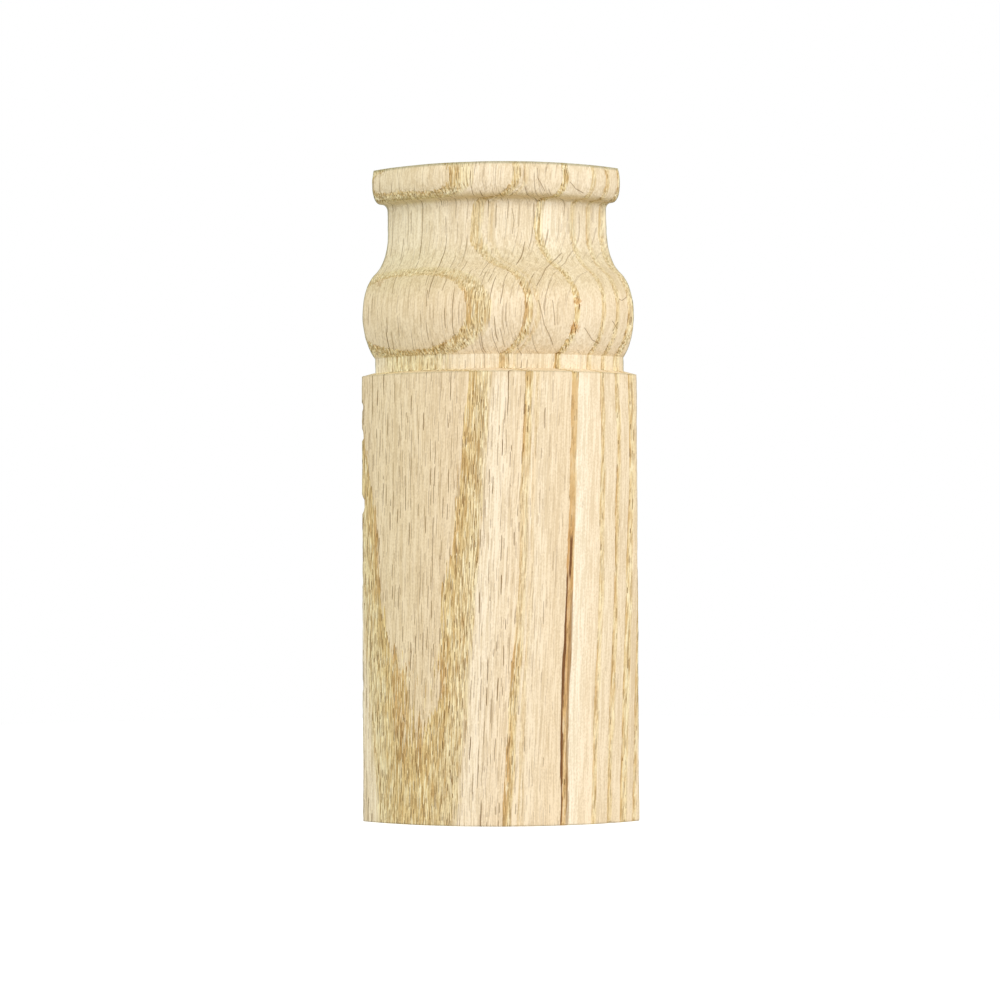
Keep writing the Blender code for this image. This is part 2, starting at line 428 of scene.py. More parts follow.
class RoundFace:
    """The turned face as rows of points from the foot up. Columns run from the photo's left to its right."""

    def __init__(self, rows, angles, body_height):
        self.radius, self.height = (line[:, None] for line in rows.T)
        self.out, self.up = (line[:, None] for line in row_normals(rows).T)
        self.angles = angles
        self.body_height = body_height
        self.shape = (len(rows), len(angles))
        self.arc = angles * BODY_RADIUS
        self.from_left = self.arc * (self.radius / BODY_RADIUS)
        self.from_right = self.from_left[:, ::-1]
        self.to_side = np.minimum(self.from_left, self.from_right)
        self.on_body = self.height <= body_height + SAME_PLACE
        self.above_shoulder = self.height - body_height - SHOULDER_RISE

    def places(self, radii, heights):
        """The points at these radii and heights."""
        sines, cosines = np.sin(self.angles), np.cos(self.angles)
        return np.stack([AXIS.x + radii * sines, AXIS.y - radii * cosines, heights + 0 * sines], -1)

    def ease(self):
        """How far wear along the arrises has taken each point in."""
        heights = self.height[:, 0]
        left = chipped(heights, arris_ease(heights, 1.0))[:, None]
        right = arris_ease(heights, 2.0)[:, None]
        foot = arris_ease(self.arc * END_GRAIN_STRETCH, 3.0)
        top = arris_ease(self.arc * END_GRAIN_STRETCH, 4.0)
        from_break = np.abs(self.angles - FOOT_BREAK_ANGLE)
        foot_break = FOOT_BREAK_DEPTH * (1 - smooth_step(from_break, 0.0, FOOT_BREAK_HALF_WIDTH))
        ease = np.zeros(self.shape)
        for cut in (
            left - self.from_left,
            right - self.from_right,
            np.maximum(foot, foot_break) - self.height,
            top - (HEIGHT - self.height),
            np.where(self.on_body, SHOULDER_EASE - (self.body_height - self.height), 0.0),
        ):
            ease = np.maximum(ease, cut)
        return ease

    def upward(self):
        """How much the head's face looks up, from 0 to 1. The shoulder doesn't count."""
        return smooth_step(np.where(self.above_shoulder > SAME_PLACE, self.up, 0.0), *UPWARD_SLOPES)

    def torn(self, plain, early):
        """How torn the grain is: most of all in the earlywood on the head's slopes."""
        slope = smooth_step(np.abs(self.up), *TORN_SLOPES)
        ragged = smooth_step(noise_at(plain, RAGGED_SIZE, 6), *RAGGED_SHOWS)
        steep = TORN_ON_LEVEL + (1 - TORN_ON_LEVEL) * slope
        uneven = TORN_LEAST + (1 - TORN_LEAST) * ragged
        return early * steep * uneven * (1 - TORN_LESS_UPWARD * self.upward())

    def relief(self, plain, wood, early, torn):
        """How far the torn grain stands out and the worn earlywood lies back, fading out at the arrises."""
        crumbs = noise_at(plain, CRUMB_SIZE, 7) + CRUMB_FINE_SHARE * noise_at(plain, CRUMB_FINE_SIZE, 8)
        streaks = noise_at(wood, STREAK_SIZES_MM, 9)
        relief = TORN_RELIEF * torn * (crumbs - CRUMB_SINKS) - early * (RECESS + STREAK_RELIEF * streaks)
        to_end = np.minimum(self.height, HEIGHT - self.height)
        inside = np.minimum(self.to_side / RELIEF_FADE, 1.0) * np.minimum(to_end / RELIEF_FADE, 1.0)
        return relief * inside

    def dark_edges_and_shade(self):
        """How much darker the arrises are, and more faintly the line along the foot and the painted shadow
        line along the shoulder.
        """
        to_arris = np.minimum(self.to_side, HEIGHT - self.height)
        strength = np.where(self.on_body, DARK_EDGES_ON_BODY, DARK_EDGES_ON_HEAD)
        dark_edges_and_shade = strength * (1 - smooth_step(to_arris, *DARK_EDGE_FADE))
        to_line = np.minimum(self.height, np.abs(self.height - self.body_height))
        return np.maximum(dark_edges_and_shade, DARK_EDGES_ON_BODY * (1 - smooth_step(to_line, 0.0, DARK_LINE_REACH)))

    def rim_shadow_and_dirt(self):
        """1 along the underside of the rim, where a shadow is painted on, with some dirt."""
        above = self.height - (HEIGHT - RIM_THICKNESS)
        return smooth_step(above, *RIM_SHADOW_STARTS) * (1 - smooth_step(above, *RIM_SHADOW_ENDS))

    def sheltered(self):
        """How deep each place lies in the head's hollows, from 0 to 1."""
        above = self.above_shoulder
        in_groove = (above > -SAME_PLACE) & (above < GROOVE_HEIGHT + SAME_PLACE)
        return np.where(in_groove, 1.0, np.clip((BODY_RADIUS - self.radius) / NECK_DEPTH, 0.0, 1.0))

    def points_and_marks(self):
        """The face's points and what each is marked with, as rows by columns."""
        plain = self.places(self.radius, self.height)
        wood = wood_coordinates(plain)
        early = earlywood(wood)
        torn = self.torn(plain, early)
        relief = self.relief(plain, wood, early, torn)
        points = self.places(self.radius - self.ease() + self.out * relief, self.height + self.up * relief)
        marks = {
            "torn": torn,
            "dark_edges_and_shade": self.dark_edges_and_shade(),
            "sheltered": self.sheltered(),
            "upward": self.upward(),
            "around": self.arc / MM,
            "turned": 1.0,
            "rim_shadow_and_dirt": self.rim_shadow_and_dirt(),
        }
        return points, {name: np.broadcast_to(values, self.shape) for name, values in marks.items()}


class Surface:
    """The mesh in the making: its points, its faces, and each point's marks."""

    def __init__(self):
        self.points = []
        self.marks = {name: [] for name in MARKS}
        self.faces = []

    def add(self, points, marks=None):
        """Adds points and gives their numbers."""
        start = len(self.points)
        self.points += [tuple(p) for p in points]
        for name in MARKS:
            self.marks[name] += [0.0] * len(points) if marks is None else list(marks[name].reshape(-1))
        return list(range(start, len(self.points)))

    def line(self, first, last):
        """Numbers of the points on a straight edge between two points that are there already."""
        a, b = Vector(self.points[first]), Vector(self.points[last])
        steps = max(1, round((b - a).length / FLAT_SPACING))
        between = [a.lerp(b, i / steps) for i in range(1, steps)]
        return [first] + self.add(between) + [last]

    def fill(self, loop, across, along, outward, seed, relief=None):
        """Fills a flat loop with even triangles that look outward. Relief moves the points between."""
        corners = [Vector(self.points[i]) for i in loop]
        origin = corners[0]
        flat = np.array([[(c - origin).dot(across), (c - origin).dot(along)] for c in corners])
        inner = points_inside(flat, seed)
        level = origin.dot(outward)
        depth = np.zeros(len(inner)) if relief is None else relief(inner, flat)
        placed = []
        for (u, v), d in zip(inner, depth):
            place = origin + across * u + along * v
            placed.append(place + outward * (level + d - place.dot(outward)))
        numbers = list(loop) + self.add(placed)
        count = len(loop)
        edges = [(i, (i + 1) % count) for i in range(count)]
        flat_points = [Vector(p) for p in flat] + [Vector(p) for p in inner]
        places, _, triangles, origins, *_ = geometry.delaunay_2d_cdt(flat_points, edges, [], 1, WELD_WITHIN)
        if len(places) != len(flat_points):
            raise ValueError("a flat face gained or lost points")
        mirrored = across.cross(along).dot(outward) < 0
        for triangle in triangles:
            a, b, c = (numbers[origins[i][0]] for i in triangle)
            self.faces.append((a, c, b) if mirrored else (a, b, c))


def points_inside(outline, seed):
    """Points on a slightly uneven grid inside an outline, and clear of it."""
    low, high = outline.min(0), outline.max(0)
    rng = np.random.default_rng(seed)
    columns = np.arange(low[0] + FLAT_SPACING / 2, high[0], FLAT_SPACING)
    rows = np.arange(low[1] + FLAT_SPACING / 2, high[1], FLAT_SPACING)
    grid = np.stack(np.meshgrid(columns, rows), -1).reshape(-1, 2)
    grid += rng.uniform(-FLAT_UNEVENNESS, FLAT_UNEVENNESS, grid.shape) * FLAT_SPACING
    inside = np.zeros(len(grid), bool)
    for (x0, y0), (x1, y1) in zip(outline, np.roll(outline, -1, 0)):
        if y0 != y1:
            crosses = (y0 > grid[:, 1]) != (y1 > grid[:, 1])
            inside ^= crosses & (grid[:, 0] < x0 + (x1 - x0) * (grid[:, 1] - y0) / (y1 - y0))
    grid = grid[inside]
    nearest = np.full(len(grid), np.inf)
    for corner in outline:
        nearest = np.minimum(nearest, np.hypot(*(grid - corner).T))
    return grid[nearest > FLAT_SPACING * FLAT_CLEARANCE]


def saw_marks(inner, flat):
    """Shallow marks of a saw across the grain, fading out towards the face's edges."""
    wander = noise_at(np.column_stack([inner, np.zeros(len(inner))]), SAW_WANDER_SIZE, 11)
    across = inner[:, 1] + SAW_SLANT * inner[:, 0]
    wave = np.sin(2 * math.pi * across / SAW_PITCH + SAW_WANDER * wander)
    edge = np.full(len(inner), np.inf)
    for corner in flat[::3]:
        edge = np.minimum(edge, np.hypot(*(inner - corner).T))
    return SAW_RELIEF * wave * smooth_step(edge, *SAW_FADE)


def block_surface():
    """The whole block as one closed surface, and the height of its plain body."""
    head = head_stretches()
    body_height = HEIGHT - head[-1][-1][1]
    rows = profile_rows(body_height, head)
    angles = graded(BODY_RADIUS * QUARTER, COLUMN_SPACING) / BODY_RADIUS
    places, marks = RoundFace(rows, angles, body_height).points_and_marks()
    surface = Surface()
    count, columns = places.shape[:2]
    grid = np.array(surface.add(places.reshape(-1, 3), marks)).reshape(count, columns)
    for lower, upper in zip(grid[:-1], grid[1:]):
        for i in range(columns - 1):
            surface.faces.append((lower[i], lower[i + 1], upper[i + 1], upper[i]))
    x, y, up = Vector((1, 0, 0)), Vector((0, 1, 0)), Vector((0, 0, 1))
    corners = {}
    for level, height in (("foot", 0.0), ("top", HEIGHT)):
        inner = [(0.0, -REBATE), (REBATE, -REBATE), (REBATE, 0.0)]
        corners[level] = surface.add([AXIS + Vector((a, b, height)) for a, b in inner])
    uprights = [surface.line(f, t) for f, t in zip(corners["foot"], corners["top"])]
    ends = {}
    for level, arc in (("foot", grid[0]), ("top", grid[-1])):
        near_x, middle, near_y = corners[level]
        ends[level] = {
            "left": surface.line(near_x, arc[0]),
            "right": surface.line(near_y, arc[-1]),
            "rebate_left": surface.line(near_x, middle),
            "rebate_right": surface.line(middle, near_y),
            "arc": list(arc),
        }
    foot, top = ends["foot"], ends["top"]
    left_inner, middle_inner, right_inner = (upright[1:-1] for upright in uprights)
    for side, rising, falling, across, outward, seed in (
        ("left", list(grid[1:-1, 0]), left_inner, -y, -x, 21),
        ("right", list(grid[1:-1, -1]), right_inner, x, y, 22),
        ("rebate_left", middle_inner, left_inner, x, y, 23),
        ("rebate_right", right_inner, middle_inner, y, -x, 24),
    ):
        loop = foot[side] + rising + top[side][::-1] + falling[::-1]
        surface.fill(loop, across, up, outward, seed, saw_marks)
    for level, outward, seed in ((foot, -up, 25), (top, up, 26)):
        loop = level["arc"] + level["right"][::-1][1:] + level["rebate_right"][::-1][1:]
        loop += level["rebate_left"][::-1][1:] + level["left"][1:-1]
        surface.fill(loop, x, y, outward, seed)
    return surface, body_height


def lean_head(points, body_height):
    """Leans the head a little towards the photo's left."""
    rise = np.clip((points[:, 2] - body_height) / (HEIGHT - body_height), 0.0, 1.0)
    return points - rise[:, None] * HEAD_LEAN * np.array(PHOTO_RIGHT)


def new_object(name, data):
    """A new object, linked to the scene."""
    made = bpy.data.objects.new(name, data)
    bpy.context.scene.collection.objects.link(made)
    return made


def set_attribute(mesh, name, kind, field, values):
    attribute = mesh.attributes.new(name, kind, "POINT")
    attribute.data.foreach_set(field, np.asarray(values, np.float32).reshape(-1))


def make_block():
    """The oak block as one object, with its wood coordinates and its marks kept on its points."""
    surface, body_height = block_surface()
    points = lean_head(np.array(surface.points), body_height)
    mesh = bpy.data.meshes.new("oak_block")
    mesh.from_pydata(points.tolist(), [], surface.faces)
    mesh.validate()
    set_attribute(mesh, "wood", "FLOAT_VECTOR", "vector", wood_coordinates(points))
    for name in MARKS:
        set_attribute(mesh, name, "FLOAT", "value", surface.marks[name])
    mesh.shade_smooth()
    mesh.set_sharp_from_angle(angle=SHARP_OVER)
    return new_object("oak_block", mesh)


def srgb(red, green, blue):
    """A colour given by its screen values, each above 10 and up to 255."""
    return tuple(((c / 255 + 0.055) / 1.055) ** 2.4 for c in (red, green, blue)) + (1.0,)


LATEWOOD = srgb(236, 215, 185)
LATEWOOD_PALE = srgb(245, 226, 200)
LATEWOOD_WHITE = srgb(253, 242, 224)
EARLYWOOD_START = srgb(235, 208, 154)
EARLYWOOD_END = srgb(243, 224, 182)
RING_LINE = srgb(204, 156, 98)
PORE = srgb(150, 110, 58)
STREAK = srgb(206, 166, 104)
SMOOTH_BAND = srgb(209, 161, 105)
SMOOTH_BAND_ABOVE = srgb(218, 180, 128)
PORE_WALL = srgb(254, 241, 208)
RAY = srgb(126, 91, 44)
CRACK = srgb(122, 80, 42)
WHITE = (1.0, 1.0, 1.0, 1.0)
# Tints, as shares of the colour that they lie on
FIBRE_DARK = (0.88, 0.85, 0.79, 1.0)
FIBRE_LIGHT = (1.08, 1.1, 1.14, 1.0)
# the torn grain's crumbs: darker pits with painted shadows, and painted highlights
CRUMB_PITS_AND_SHADOW = (0.74, 0.68, 0.5, 1.0)
CRUMB_PAINTED_HIGHLIGHT = (1.35, 1.38, 1.38, 1.0)
# painted shade tone: the head's hollows greener and bluer the deeper they lie
HOLLOW_SHADE_TINT = (1.01, 1.06, 1.12, 1.0)
# darker end grain on the slopes that face up, and painted shade there
UPWARD_END_GRAIN_AND_SHADE = (0.87, 0.865, 0.8, 1.0)
RED_SPOT = (0.8, 0.6, 0.42, 1.0)
# darker arrises, a faint dark line along the foot, and a painted shadow line along the shoulder
EDGE_AND_SHADE_TINT = (0.4, 0.46, 0.4, 1.0)
# painted shadow under the rim, with some dirt
RIM_SHADOW_AND_DIRT = (0.8, 0.76, 0.62, 1.0)
# painted shade: the round face's left side, away from the key light, greener
LEFT_SHADE_TINT = (1.0, 1.035, 1.0, 1.0)

OAK_ROUGHNESS = 0.6
OAK_SPECULAR = 0.3

# Noise in the timber: how fast it changes along the ring, out from the pith and up the tree, and its detail
SWAY = ((0.3, 0.3, 0.1), 2.0)
RAGGED = ((1.9, 1.9, 0.06), 2.0)
WANDER = ((0.16, 0.16, 0.018), 1.0)
PATCHES = ((0.3, 0.3, 0.06), 2.0)
FIBRES = ((3.3, 3.3, 0.1), 1.0)
FUZZ = ((2.6, 2.6, 1.8), 1.0)
COARSE_FIBRES = ((1.0, 1.0, 0.035), 2.0)
CLOUDS = ((0.25, 0.25, 0.03), 2.0)
STREAKS = ((3.0, 1.3, 0.17), 2.0)
THREADS = ((4.3, 1.7, 0.22), 1.0)
CRUMBS = ((1.9, 1.9, 1.5), 2.0)
# How far three of them move the pattern
SWAY_MM = 0.8
RAGGED_MM = 1.2
WANDER_MM = 0.1

# Dashes: the cell that holds each one, and its half sizes, along the ring, out and up
PITS_MM = ((0.34, 0.6, 3.2), (0.1, 0.2, 1.1))
RAYS_MM = ((1.2, 45.0, 8.0), (0.125, 32.0, 2.4))
LONG_RAYS_MM = ((3.3, 70.0, 22.0), (0.13, 50.0, 6.5))
FINE_RAYS_MM = ((0.7, 3.0, 5.0), (0.12, 1.6, 1.4))
LATE_PORES_MM = ((1.3, 1.3, 6.0), (0.12, 0.12, 1.5))
DASH_SHORTEST = 0.5  # in half sizes; the longest is 1 more
DASH_SQUARENESS = 3.0  # keeps the sides of a dash straight up to its ends
DASH_RARITY = 2.0  # few dashes are strong
DASH_WEAKEST = 0.25
DASH_EDGE = (1.0, 0.7)

# Where the oak changes, from the value where that starts to the one where it is complete
HEAD_AT_MM = (105.0, 108.0)  # height
BAND_PALER_AT_MM = (68.0, 80.0)  # height
BAND_CRUMBLY_AT_MM = (31.0, 23.0)  # height
FACING_MM = (37.0, 25.0)  # along the ring: past it no rays show
FIRMER_MM = (8.0, 16.0)  # along the ring
LEFT_SHADE_MM = (34.0, 6.0)  # around the round face; painted shade on the left side
RING_LINE_MM = (0.5, 0.2)  # past the ring's start
EARLYWOOD_PALER_MM = (0.2, 1.6)  # past the ring's start
WHITISH_MM = (4.2, 0.8)  # past the earlywood
EARLYWOOD_ENDS = (1.2, 0.9)  # in widths of the earlywood
SMOOTH_BAND_DARKNESS = (1.05, 1.15)  # only a ring as dark as this has a smooth band
SPOT_EDGE = (1.1, 0.5)  # in half sizes of the spot
# The same for the values of noise
PATCHES_SHOW = (-0.1, 0.12)
DARK_STREAKS_SHOW = (-0.03, -0.13)
LIGHT_STREAKS_SHOW = (0.04, 0.13)
THREADS_SHOW = (-0.02, -0.12)

# How strong each part of the pattern is
RING_LINE_SHARE = 0.75
WHITISH_SHARE = 0.6
LIGHT_STREAK_SHARE = 0.9
DARK_STREAK_SHARE = 0.7
BAND_SHARE = 0.75
THREAD_SHARE = 0.45
PIT_STRENGTH = 1.4
FINE_RAY_SHARE = 0.45
SCRATCH_SHARE = 0.6
FIBRE_STRENGTH = 2.1
FIRMER_BY = 0.8
FUZZ_STRENGTH = 1.3
COARSE_STRENGTH = 1.5
CLOUD_STRENGTH = 0.8
CRUMB_STRENGTH = 3.0
SPOT_FUZZ = 2.0
# What is left of a part of the pattern in some places
RAYS_ON_SAWN = 0.25
PORES_PAST_FACING = 0.4
# How much weaker a part of the pattern is in some places
HEAD_WEAKENS = 0.3
UPWARD_WEAKENS = 0.4
SHELTER_WEAKENS = 0.22
PALE_WEAKENS = 0.4
HEAD_LESS_WHITISH = 0.6
TORN_BREAKS_LINE = 0.7
CRUMBLY_BREAKS_BAND = 0.35
BAND_CLOSES_PORES = 0.8
EARLYWOOD_HIDES_RAYS = 0.6
HEAD_HIDES_PORES = 0.7
# How deep each part of the pattern lies, in mm
PIT_BUMP_MM = -0.12
STREAK_BUMP_MM = -0.05
RAY_BUMP_MM = -0.04
FIBRE_BUMP_MM = 0.05
CRUMB_BUMP_MM = 0.6


class Nodes:
    """Short calls to add nodes to a tree and join them up."""

    def __init__(self, tree):
        self.tree = tree

    def join(self, value, socket):
        """Joins a node's output to a socket, or sets the socket to a plain value."""
        if isinstance(value, bpy.types.NodeSocket):
            self.tree.links.new(value, socket)
        else:
            socket.default_value = value

    def add(self, kind, inputs=(), **settings):
        made = self.tree.nodes.new(kind)
        for name, value in settings.items():
            setattr(made, name, value)
        for name, value in dict(inputs).items():
            self.join(value, made.inputs[name])
        return made

    def math(self, operation, *values):
        return self.add("ShaderNodeMath", enumerate(values), operation=operation).outputs[0]

    def product(self, first, *others):
        for other in others:
            first = self.math("MULTIPLY", first, other)
        return first

    def lessened(self, value, where, share):
        """The value, less this share of it where the second one is 1."""
        return self.product(value, self.math("MULTIPLY_ADD", where, -share, 1.0))

    def vector(self, operation, *values):
        made = self.add("ShaderNodeVectorMath", enumerate(values), operation=operation)
        return made.outputs["Value" if operation in ("LENGTH", "DOT_PRODUCT") else "Vector"]

    def combined(self, *values):
        return self.add("ShaderNodeCombineXYZ", enumerate(values)).outputs[0]

    def separated(self, vector):
        return tuple(self.add("ShaderNodeSeparateXYZ", {0: vector}).outputs)

    def step(self, value, start, end):
        """A smooth step from 0 at start to 1 at end. Start may be the higher of the two."""
        inputs = {"Value": value, "From Min": min(start, end), "From Max": max(start, end)}
        if start > end:
            inputs.update({"To Min": 1.0, "To Max": 0.0})
        return self.add("ShaderNodeMapRange", inputs, interpolation_type="SMOOTHSTEP").outputs["Result"]

    def mix(self, factor, first, second):
        made = self.add("ShaderNodeMix", data_type="RGBA")
        sockets = {s.identifier: s for s in made.inputs}
        for name, value in (("Factor_Float", factor), ("A_Color", first), ("B_Color", second)):
            self.join(value, sockets[name])
        return next(s for s in made.outputs if s.identifier == "Result_Color")

    def tint(self, colour, factor, at_none, at_full):
        """The colour times the one tint where the factor is 0, and times the other where it is 1."""
        return self.vector("MULTIPLY", colour, self.mix(factor, at_none, at_full))

    def grain(self, wood, scale, detail):
        """Noise that runs about 0, at these scales along the ring, out from the pith and up the tree."""
        inputs = {"Vector": self.vector("MULTIPLY", wood, scale), "Scale": 1.0, "Detail": detail}
        return self.math("SUBTRACT", self.add("ShaderNodeTexNoise", inputs).outputs[0], 0.5)


def dashes(nodes, wood, cell, half_sizes):
    """Upright dashes strewn through the timber, one for each cell. Their strength and length vary."""
    cells = nodes.vector("MULTIPLY", wood, tuple(1 / s for s in cell))
    voronoi = nodes.add("ShaderNodeTexVoronoi", {"Vector": cells, "Scale": 1.0}).outputs
    offset = nodes.vector("SUBTRACT", cells, voronoi["Position"])
    offset = nodes.vector("MULTIPLY", offset, tuple(s / h for s, h in zip(cell, half_sizes)))
    chance = nodes.add("ShaderNodeSeparateColor", {0: voronoi["Color"]}).outputs
    aside, outward, upright = nodes.separated(offset)
    upright = nodes.math("DIVIDE", upright, nodes.math("ADD", chance[1], DASH_SHORTEST))
    upright = nodes.math("POWER", nodes.math("ABSOLUTE", upright), DASH_SQUARENESS)
    far = nodes.vector("LENGTH", nodes.combined(aside, outward, upright))
    strength = nodes.math("POWER", chance[0], DASH_RARITY)
    strength = nodes.math("MULTIPLY_ADD", strength, 1 - DASH_WEAKEST, DASH_WEAKEST)
    return nodes.product(nodes.step(far, *DASH_EDGE), strength)


def around_mm(degrees):
    """The distance around the round face, measured at the body's radius."""
    return math.radians(degrees) * BODY_RADIUS / MM


def line_distance(nodes, place, start, end):
    """How far each place lies from a straight line between two points on the round face, in mm."""
    first = Vector((around_mm(start[0]), start[1], 0.0))
    along = Vector((around_mm(end[0]), end[1], 0.0)) - first
    offset = nodes.vector("SUBTRACT", place, tuple(first))
    share = nodes.vector("DOT_PRODUCT", offset, tuple(along / along.length_squared))
    share = nodes.add("ShaderNodeClamp", {"Value": share}).outputs[0]
    nearest = nodes.vector("MULTIPLY", share, tuple(along))
    return nodes.vector("LENGTH", nodes.vector("SUBTRACT", offset, nearest))


def ring_facts(nodes, out):
    """How far a place is past the start of its own ring, and that ring's width, darkness and paleness."""
    facts = list(RINGS_MM[0])
    for before, ring in zip(RINGS_MM[:-1], RINGS_MM[1:]):
        past = nodes.math("GREATER_THAN", out, ring[0])
        for i in range(len(facts)):
            facts[i] = nodes.math("MULTIPLY_ADD", past, ring[i] - before[i], facts[i])
    return [nodes.math("SUBTRACT", out, facts[0])] + facts[1:]


def pale_stretch(nodes, oak):
    """1 in the stretch of earlywood that is paler, and 0 elsewhere."""
    (nearest, farthest), (low, high) = PALE_STRETCH_MM
    side, end = PALE_STRETCH_FADES_MM
    return nodes.product(
        nodes.step(oak.out, nearest, nearest + side),
        nodes.step(oak.out, farthest, farthest - side),
        nodes.step(oak.height, low - end, low),
        nodes.step(oak.height, high + end, high),
    )


def read_oak(nodes):
    """The oak at each place: its marks, its place in the timber, its ring, and its earlywood's strength."""
    oak = SimpleNamespace()
    for name in MARKS:
        setattr(oak, name, nodes.add("ShaderNodeAttribute", attribute_name=name).outputs["Fac"])
    oak.turned = nodes.step(oak.turned, 0.5, 1.0)
    straight = nodes.add("ShaderNodeAttribute", attribute_name="wood").outputs["Vector"]
    sideways = nodes.combined(nodes.product(nodes.grain(straight, *SWAY), SWAY_MM))
    oak.wood = nodes.vector("ADD", straight, sideways)
    oak.along, out, oak.height = nodes.separated(oak.wood)
    out = nodes.math("MULTIPLY_ADD", nodes.grain(oak.wood, *RAGGED), RAGGED_MM, out)
    oak.out = nodes.math("MULTIPLY_ADD", nodes.grain(oak.wood, *WANDER), WANDER_MM, out)
    oak.fibres = nodes.grain(oak.wood, *FIBRES)
    oak.fuzz = nodes.grain(oak.wood, *FUZZ)
    oak.head = nodes.step(oak.height, *HEAD_AT_MM)
    oak.weaker = nodes.math("MULTIPLY_ADD", oak.head, -HEAD_WEAKENS, 1.0)
    oak.facing = nodes.step(oak.along, *FACING_MM)
    oak.since, oak.width, oak.darkness, oak.paleness = ring_facts(nodes, oak.out)
    oak.early = nodes.step(nodes.math("DIVIDE", oak.since, oak.width), *EARLYWOOD_ENDS)
    oak.strong = nodes.product(oak.early, oak.darkness)
    oak.strong = nodes.lessened(oak.strong, oak.upward, UPWARD_WEAKENS)
    oak.strong = nodes.lessened(oak.strong, oak.sheltered, SHELTER_WEAKENS)
    oak.strong = nodes.lessened(oak.strong, pale_stretch(nodes, oak), PALE_WEAKENS)
    return oak


def ring_colour(nodes, oak):
    """The latewood and the earlywood, and the line that each ring starts with."""
    paleness = nodes.product(oak.paleness, oak.weaker)
    past_earlywood = nodes.math("SUBTRACT", oak.since, oak.width)
    whitish = nodes.product(nodes.step(past_earlywood, *WHITISH_MM), paleness)
    whitish = nodes.product(nodes.lessened(whitish, oak.head, HEAD_LESS_WHITISH), WHITISH_SHARE)
    late = nodes.mix(whitish, nodes.mix(paleness, LATEWOOD, LATEWOOD_PALE), LATEWOOD_WHITE)
    golden = nodes.mix(nodes.step(oak.since, *EARLYWOOD_PALER_MM), EARLYWOOD_START, EARLYWOOD_END)
    patches = nodes.step(nodes.grain(oak.wood, *PATCHES), *PATCHES_SHOW)
    patches = nodes.lessened(patches, oak.torn, TORN_BREAKS_LINE)
    line = nodes.product(nodes.step(oak.since, *RING_LINE_MM), nodes.product(oak.strong, patches))
    return nodes.mix(nodes.product(line, RING_LINE_SHARE), nodes.mix(oak.strong, late, golden), RING_LINE)


def add_fibres(nodes, oak, colour):
    """Fine and coarse fibres, and clouds of darker wood."""
    firmer = nodes.product(nodes.step(oak.along, *FIRMER_MM), oak.facing)
    strength = nodes.math("MULTIPLY_ADD", firmer, FIRMER_BY, FIBRE_STRENGTH)
    shade = nodes.math("MULTIPLY_ADD", nodes.product(oak.fibres, oak.weaker), strength, 0.5)
    shade = nodes.math("MULTIPLY_ADD", oak.fuzz, FUZZ_STRENGTH, shade)
    shade = nodes.math("MULTIPLY_ADD", nodes.grain(oak.wood, *COARSE_FIBRES), COARSE_STRENGTH, shade)
    shade = nodes.math("MULTIPLY_ADD", nodes.grain(oak.wood, *CLOUDS), CLOUD_STRENGTH, shade)
    return nodes.tint(colour, nodes.step(shade, 0.0, 1.0), FIBRE_DARK, FIBRE_LIGHT)


def add_pores(nodes, oak, colour):
    """The earlywood's streaks, threads and pits, and the smooth band that the darkest ring has instead."""
    streaks = nodes.grain(oak.wood, *STREAKS)
    light_streaks = nodes.product(nodes.step(streaks, *LIGHT_STREAKS_SHOW), oak.strong)
    oak.dark_streaks = nodes.product(nodes.step(streaks, *DARK_STREAKS_SHOW), oak.strong)
    oak.pits = nodes.product(dashes(nodes, oak.wood, *PITS_MM), oak.strong)
    below_head = nodes.math("SUBTRACT", 1.0, oak.head)
    smooth = nodes.product(nodes.step(oak.darkness, *SMOOTH_BAND_DARKNESS), below_head)
    smooth = nodes.lessened(smooth, nodes.step(oak.height, *BAND_CRUMBLY_AT_MM), CRUMBLY_BREAKS_BAND)
    band = nodes.mix(nodes.step(oak.height, *BAND_PALER_AT_MM), SMOOTH_BAND, SMOOTH_BAND_ABOVE)
    open_pored = nodes.lessened(oak.strong, smooth, BAND_CLOSES_PORES)
    threads = nodes.product(nodes.step(nodes.grain(oak.wood, *THREADS), *THREADS_SHOW), open_pored)
    for share, over in (
        (nodes.product(light_streaks, LIGHT_STREAK_SHARE), PORE_WALL),
        (nodes.product(oak.dark_streaks, DARK_STREAK_SHARE), STREAK),
        (nodes.product(smooth, oak.early, BAND_SHARE), band),
        (nodes.product(threads, THREAD_SHARE), PORE),
        (nodes.math("MINIMUM", nodes.product(oak.pits, PIT_STRENGTH, open_pored), 1.0), PORE),
    ):
        colour = nodes.mix(share, colour, over)
    return colour


def add_rays(nodes, oak, colour):
    """Rays, which are fainter on the sawn faces, and the latewood's few pores."""
    latewood = nodes.math("SUBTRACT", 1.0, nodes.product(oak.early, EARLYWOOD_HIDES_RAYS))
    plainer = nodes.math("MULTIPLY_ADD", oak.turned, 1 - RAYS_ON_SAWN, RAYS_ON_SAWN)
    rays = nodes.product(dashes(nodes, oak.wood, *RAYS_MM), oak.weaker)
    rays = nodes.math("MAXIMUM", rays, dashes(nodes, oak.wood, *LONG_RAYS_MM))
    rays = nodes.product(rays, nodes.product(latewood, oak.facing), plainer)
    pores = nodes.product(dashes(nodes, oak.wood, *LATE_PORES_MM), latewood)
    pores = nodes.lessened(pores, oak.head, HEAD_HIDES_PORES)
    facing = nodes.math("MULTIPLY_ADD", oak.facing, 1 - PORES_PAST_FACING, PORES_PAST_FACING)
    oak.rays = nodes.math("MAXIMUM", rays, nodes.product(pores, facing))
    fine_rays = dashes(nodes, oak.wood, *FINE_RAYS_MM)
    fine_rays = nodes.product(fine_rays, nodes.product(oak.weaker, oak.facing), plainer)
    colour = nodes.mix(oak.rays, colour, RAY)
    return nodes.mix(nodes.product(fine_rays, FINE_RAY_SHARE), colour, RAY)


